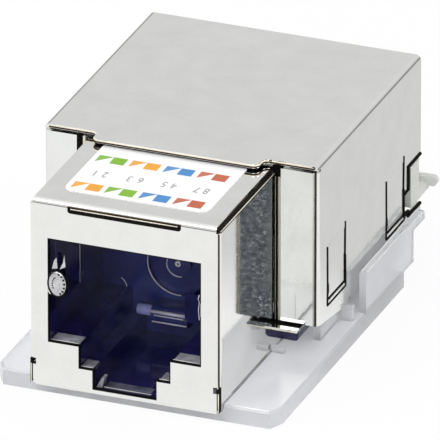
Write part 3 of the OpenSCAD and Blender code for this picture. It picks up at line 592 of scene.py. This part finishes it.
def tongue_slit_shade():
    """Painted shade: black lines in the slits round the spring tongues and round the notch in the cover's
    right side, a black liner behind each tongue, and painted highlights along the tongues' lower edges.
    """
    dark, light, tin_faces = Shape(), Shape(), Shape()
    x = COVER_X - 0.01
    for front, rear in TONGUES:
        slit = [(x, front, TONGUE_TOP - 0.1), (x, front + 0.05, 5.9), (x, front, TONGUE_LOW + 0.1)]
        dark.rod(slit, 0.085, ALONG_X)
        dark.rod([(x, front, TONGUE_LOW + 0.05), (x, rear, TONGUE_LOW + 0.05)], 0.085, ALONG_X)
        leaf = [(front, 6.5), (front + 0.32, 5.8), (front + 0.34, 5.3), (front + 0.12, 4.8), (front, 4.5)]
        dark.prism(0, leaf, COVER_X - 0.1, COVER_X + 0.01)
        dark.rod([(x, rear - 0.04, 6.8), (x, rear + 0.02, TONGUE_LOW + 0.1)], 0.105, ALONG_X)
        slit = [(x, rear, TONGUE_LOW + 0.1), (x, rear - 0.05, 6.5), (x, rear, TONGUE_TOP + 0.4)]
        dark.rod(slit, 0.075, ALONG_X)
        dark.rod([(x, front + 0.3, TONGUE_LOW + 0.5), (x, rear - 0.25, TONGUE_LOW + 0.5)], 0.075, ALONG_X)
        z = TONGUE_LOW + 0.27
        light.rod([(x - 0.02, front + 0.15, z), (x - 0.02, rear - 0.2, z)], 0.1, ALONG_X)
        face = [
            (front + 0.06, TONGUE_TOP + 0.1), (front + 0.06, 6.8), (front + 0.3, 5.9), (front + 0.42, 5.3),
            (front + 0.2, TONGUE_LOW + 0.5), (rear - 0.3, TONGUE_LOW + 0.5),
            (rear - 0.16, 6.2), (rear - 0.05, TONGUE_TOP + 0.1),
        ]
        tin_faces.prism(0, face, COVER_X - 0.1, COVER_X - 0.02)
        dark.box((COVER_X - 0.16, front, TONGUE_LOW + 0.3), (COVER_X - 0.12, rear, TONGUE_TOP))
    front, low, high, step = 29.7, 4.2, 8.2, 6.35
    rear = COVER_REAR - 0.1
    dark.rod([(x, rear, high), (x, front, high), (x, front, step), (x, 28.85, step)], 0.15, ALONG_X)
    dark.rod([(x, 28.85, 4.6), (x, front, 4.6), (x, front, low), (x, rear, low)], 0.15, ALONG_X)
    dark.piece("tongue_slit_shade", shade_fill_mat, "cover_tin", smooth=False)
    light.piece("tongue_glints", white_highlight_mat, "cover_tin")
    tin_faces.piece("tongue_faces", cover_mat, "cover_tin", smooth=False)


def ear_top_shade():
    """Painted shade on the tops of the shield's ears, with a painted highlight on their front edge."""
    dark, light = Shape(), Shape()
    for side in (-1, 1):
        x0, x1 = sorted((side * (SHIELD_X + 0.02), side * (COVER_X - 1.33)))
        dark.box((x0, 10.95, 3.1), (x1, 12.02, 3.21))
        light.box((x0, 10.37, 2.99), (x1, 10.5, 3.07))
    dark.piece("ear_top_shade", shade_fill_mat, "shield_tin", bevel=0.01)
    light.piece("ear_glints", cream_highlight_mat, "shield_tin", bevel=0.02)


cover_gap()
cover_edges()
tongue_slit_shade()
ear_top_shade()


# ---------- inside the plug opening ----------

EYE = (0.0, 6.7)
BAR_Z, BAR_R = 3.23, 0.68
BAR_Y = CAVITY_Y - 2 * BAR_R


def cavity_glints():
    """Painted highlights: pale lavender lines where the edges of the navy moulding catch the light."""
    shape = Shape()
    back = CAVITY_Y - 0.02
    for r, start, end in ((2.42, 160, 275), (0.93, 115, 285)):
        shape.rod([(x, back, z) for x, z in arc(EYE, r, start, end, 20)], 0.045, ALONG_Y)
    shape.rod([(x, back, z) for x, z in arc((EYE[0] - 0.05, EYE[1] + 0.1), 0.16, 0, 360, 10)], 0.1, ALONG_Y)
    shape.rod([(x, back, z) for x, z in arc((-4.9, 4.2), 0.85, 60, -35, 8)], 0.035, ALONG_Y)
    shape.rod([(-5.9, 6.2, 6.3), (-5.9, 6.2, PLUG_TOP - 0.1)], 0.022, ALONG_Y)
    # lines of light on the round bar, and the short pin beside it
    for turn, r, inset in ((-38, 0.075, 0.1), (12, 0.05, 0.3), (34, 0.13, 0.05)):
        y = BAR_Y - BAR_R * math.cos(math.radians(turn))
        z = BAR_Z + BAR_R * math.sin(math.radians(turn))
        shape.rod([(inset - 1.45, y, z), (1.45 - inset, y, z)], r, ALONG_Y)
    shape.piece("cavity_glints", lavender_highlight_mat, "housing_navy")
    pin = Shape()
    pin.rod([(-2.7, BAR_Y + 0.1, BAR_Z + 0.1), (-1.5, BAR_Y + 0.1, BAR_Z + 0.1)], 0.42, ALONG_Y, sides=16)
    pin.piece("cavity_pin", lit_pin_mat, "housing_navy", bevel=0.08)


def lip_skins():
    """Satin, mottled skins on the lips of the opening's ledges, with painted highlights on their front edges.
    """
    shape, light = Shape(), Shape()
    for side in (-1, 1):
        for x0, x1, z in ((LATCH_X + 0.1, PLUG_X - 0.1, PLUG_LOW), (KEY_X + 0.1, LATCH_X - 0.05, LATCH_LOW)):
            a, b = sorted((side * x0, side * x1))
            shape.box((a, 0.3, z - 0.02), (b, 1.7, z + 0.035))
            light.rod([(a, 0.3, z + 0.1), (b, 0.3, z + 0.1)], 0.03, ALONG_Y)
    strip = Shape().box((-1.8, 0.55, KEY_LOW - 0.05), (1.75, 1.65, KEY_LOW + 0.06))
    strip.piece("key_strip", strip_mat, "shield_tin", bevel=0.02)
    light.rod([(-1.8, 0.55, KEY_LOW + 0.1), (1.9, 0.55, KEY_LOW + 0.1)], 0.025, ALONG_Y)
    wedge = [(-2.4, KEY_LOW), (-1.95, KEY_LOW), (-1.75, KEY_LOW + 0.8), (-1.95, KEY_LOW + 0.85)]
    shape.prism(1, wedge, 0.5, 1.2)
    shape.piece("lip_skins", satin_mat, "shield_tin", bevel=0.02)
    light.piece("lip_glints", white_highlight_mat, "shield_tin")


def finger_cups():
    """The spoon-shaped contact faces of the ground fingers."""
    cx, cz, rx, rz = -5.2, 9.05, 0.7, 1.0
    turns = [2 * math.pi * k / 32 for k in range(32)]
    rim = [(cx + rx * math.cos(t), -0.05, cz + rz * math.sin(t)) for t in turns]
    dish = Shape()
    rings = []
    for share, y in ((1.0, 0.02), (0.97, -0.04), (0.8, -0.07), (0.5, -0.1), (0.15, -0.115)):
        rings.append(dish.ring([(cx + (p[0] - cx) * share, y, cz + (p[2] - cz) * share) for p in rim]))
    dish.skin(rings)
    dish.piece("finger_cup", cup_mat, "shield_tin")
    # painted shade: a dark ring round the cup, and dark dots in it
    dark = Shape()
    outside = [(cx + (p[0] - cx) * 1.05, -0.02, cz + (p[2] - cz) * 1.05) for p in rim]
    dark.rod(outside, 0.045, ALONG_Y, closed=True)
    for t in (2.0, 2.35, 2.7, 3.05, 3.4, 3.75):
        at = (cx + 0.5 * rx * math.cos(t), cz + 0.55 * rz * math.sin(t))
        dark.rod([(x, -0.115, z) for x, z in arc(at, 0.03, 0, 360, 6)], 0.03, ALONG_Y, sides=4)
    for t in (-1.1, -0.7, -0.3, 0.1, 0.5, 0.9, 1.3):
        at = (cx + 0.8 * rx * math.cos(t), cz + 0.82 * rz * math.sin(t))
        dark.rod([(x, -0.075, z) for x, z in arc(at, 0.05, 0, 360, 6)], 0.045, ALONG_Y, sides=4)
    # painted shade: a dark navy plate over the face of the right finger, which turns its edge to the front
    shade = [(4.95, 7.7), (PLUG_X - 0.05, 7.7), (PLUG_X - 0.05, 10.05), (4.95, 10.05), (4.7, 9.7), (4.7, 8.0)]
    Shape().prism(1, shade, -0.03, -0.01).piece("finger_shade", shade_mat, "shield_tin", smooth=False)
    dark.piece("finger_dark_marks", shade_fill_mat, "shield_tin", smooth=False)
    prongs = Shape()
    for outline in (
        ((-0.45, 1.1), (-0.3, 1.75), (-0.1, 2.05), (-0.02, 1.2)),
        ((0.15, 1.15), (0.4, 1.7), (0.52, 2.35), (0.6, 1.4)),
    ):
        prongs.prism(1, [(cx + a, cz + b) for a, b in outline], 0.1, 0.3)
    edge = [(5.84, 10.1), (5.76, 9.75), (5.84, 9.5), (5.78, 8.9), (5.84, 8.1)]
    prongs.rod([(x, -0.06, z) for x, z in edge], 0.035, ALONG_Y)
    prongs.piece("finger_prongs", cup_mat, "shield_tin", smooth=False)


# painted light: the pin is part of the navy moulding, painted a pale blue as if lit
lit_pin_mat = plastic("pin_lit_look", (0.34, 0.36, 0.72), 0.25, spread=0.2, coat=0.5)
cup_mat = tin("cup_look", (0.6, 0.6, 0.62), 0.25, grain=2, mottle=2.4, spread=0.3)
cavity_glints()
lip_skins()
finger_cups()


# ---------- clear base ----------

def base_glints():
    """Painted highlights on moulded edges of the clear base, and a faint painted shade line where it meets
    the shield.
    """
    light = Shape()
    wall_x, wall_top = BASE_X, 4.5
    for x in (wall_x - 0.5, wall_x - 0.06):
        light.rod([(x, 19.0, wall_top), (x, 30.4, wall_top)], 0.035, ALONG_X)
    light.rod([(8.0, 0.75, BASE_TOP - 0.02), (BASE_X - 0.7, 0.75, BASE_TOP - 0.02)], 0.06, ALONG_Z)
    light.piece("base_glints", white_highlight_mat, "base_clear")
    dark = Shape()
    x, z = SHIELD_X + 0.09, BASE_TOP + 0.01
    dark.rod([(x, 2.6, z), (x, 9.6, z)], 0.016, ALONG_Z)
    dark.piece("base_seam_shade", brown_edge_and_shade_mat, "base_clear")


base_glints()


# ---------- stage ----------

def plane(name, corners, mat):
    """A flat sheet of the stage."""
    mesh = bpy.data.meshes.new(name)
    mesh.from_pydata([tuple(c) for c in corners], [], [tuple(range(len(corners)))])
    obj = bpy.data.objects.new(name, mesh)
    obj.data.materials.append(mat)
    scene.collection.objects.link(obj)
    return obj


def floor_look():
    """A pale floor that shows as white, keeps the shadow, and looks dimmer to glossy rays behind the face."""
    m = Mat("floor_look")
    m.bsdf.inputs["Base Color"].default_value = (0.8, 0.8, 0.8, 1)
    m.bsdf.inputs["Roughness"].default_value = 0.8
    m.use(Base_Color=m.ramp(m.noise(0.01, 2), [(0.3, (0.79, 0.79, 0.79)), (0.7, (0.81, 0.81, 0.81))]))
    glow = m.node("Emission")
    glow.inputs["Strength"].default_value = 1.0
    rays = m.node("LightPath")
    split = m.node("SeparateXYZ")
    m.link(m.mm, split.inputs[0])
    level = m.span(split.outputs["Y"], 4, 15, 0.95, 0.7)
    glossy, through = rays.outputs["Is Glossy Ray"], rays.outputs["Is Transmission Ray"]
    dimmed = m.math("MULTIPLY", glossy, m.math("SUBTRACT", 1.0, level))
    m.link(m.math("SUBTRACT", 1.0, dimmed), glow.inputs["Strength"])
    seen = m.math("MULTIPLY", rays.outputs["Is Camera Ray"], 0.93)
    seen = m.math("MAXIMUM", seen, m.math("MAXIMUM", glossy, m.math("MULTIPLY", through, 0.9)))
    mixer = m.node("MixShader")
    m.link(seen, mixer.inputs[0])
    m.link(m.bsdf.outputs[0], mixer.inputs[1])
    m.link(glow.outputs[0], mixer.inputs[2])
    m.link(mixer.outputs[0], m.out.inputs[0])
    return m.mat


SPAN = 0.6
FLOOR_Z = -2e-5
corners = [(x * SPAN, y * SPAN, FLOOR_Z) for x, y in ((-1, -1), (1, -1), (1, 1), (-1, 1))]
plane("floor", corners, floor_look())


def card_look():
    """A mottled blue-grey card that shows only from behind, to what looks along -Y."""
    m = Mat("card_look")
    glow = m.node("Emission")
    specks = m.noise(6, 4, rough=0.75)
    tones = [
        (0.34, (0.015, 0.017, 0.022)), (0.5, (0.08, 0.09, 0.11)),
        (0.58, (0.2, 0.21, 0.24)), (0.66, (0.9, 0.9, 0.9)),
    ]
    m.link(m.ramp(specks, tones), glow.inputs["Color"])
    clear_side = m.node("BsdfTransparent")
    side = m.node("NewGeometry")
    mixer = m.node("MixShader")
    m.link(side.outputs["Backfacing"], mixer.inputs[0])
    m.link(clear_side.outputs[0], mixer.inputs[1])
    m.link(glow.outputs[0], mixer.inputs[2])
    m.link(mixer.outputs[0], m.out.inputs[0])
    return m.mat


def flag(name, corners, mat):
    """A stage card that only glossy rays see."""
    obj = plane(name, corners, mat)
    obj.visible_camera = False
    obj.visible_diffuse = False
    obj.visible_transmission = False
    obj.visible_shadow = False
    return obj


card = card_look()
for name, x, y in (("card_near", 9.45, 8), ("card_far", 10.63, 3)):
    corners = [place(x, y, 0.1), place(x + 5, y, 0.1), place(x + 5, y, 14), place(x, y, 14)]
    flag(name, corners, card)
corners = [place(8.88, 11.2, 5), place(8.28, 9.7, 5), place(8.28, 9.7, 0.5), place(8.88, 11.2, 0.5)]
flag("card_low", corners, card)


def lamp(name, where, size, power, tint=(1, 1, 1)):
    data = bpy.data.lights.new(name, "AREA")
    data.shape = "SQUARE"
    data.size = size
    data.energy = power
    data.color = tint
    obj = bpy.data.objects.new(name, data)
    obj.location = where
    obj.rotation_mode = "QUATERNION"
    obj.rotation_quaternion = (Vector((0, 0, 0.008)) - Vector(where)).to_track_quat("-Z", "Y")
    scene.collection.objects.link(obj)
    return obj


lamp("key", (-0.35, -0.25, 0.5), 0.35, 1.6)
lamp("front", (0.12, -0.6, 0.25), 0.35, 0.8)
lamp("fill", (0.55, 0.05, 0.2), 0.3, 0.9)

world = bpy.data.worlds.new("world")
scene.world = world
world.use_nodes = True
wt = world.node_tree
wt.nodes.clear()


def wnode(kind, **values):
    n = wt.nodes.new("ShaderNode" + kind)
    for key, value in values.items():
        setattr(n, key, value)
    return n


w_out = wnode("OutputWorld")
w_bg = wnode("Background")
w_coord = wnode("TexCoord")
w_split = wnode("SeparateXYZ")
w_ramp = wnode("ValToRGB")
w_rays = wnode("LightPath")
w_mix = wnode("Mix", data_type="RGBA")
w_map = wnode("MapRange")
wt.links.new(w_coord.outputs["Generated"], w_split.inputs[0])
wt.links.new(w_split.outputs[2], w_map.inputs[0])
w_map.inputs[1].default_value = -1
w_map.inputs[2].default_value = 1
wt.links.new(w_map.outputs[0], w_ramp.inputs[0])


def at_elevation(deg):
    return (math.sin(math.radians(deg)) + 1) / 2


# brightness of the surroundings by elevation in degrees
stops = [(-90, 0.8), (-4, 0.5), (3, 0.22), (12, 0.3), (18, 0.7), (30, 0.75), (60, 0.95), (90, 1.0)]
ramp = w_ramp.color_ramp
while len(ramp.elements) < len(stops):
    ramp.elements.new(0.5)
for e, (deg, level) in zip(ramp.elements, stops):
    e.position = at_elevation(deg)
    e.color = (level, level, level, 1)
wt.links.new(w_rays.outputs["Is Camera Ray"], w_mix.inputs[0])
wt.links.new(w_ramp.outputs[0], w_mix.inputs[6])
w_mix.inputs[7].default_value = (1, 1, 1, 1)
wt.links.new(w_mix.outputs[2], w_bg.inputs[0])
wt.links.new(w_bg.outputs[0], w_out.inputs[0])
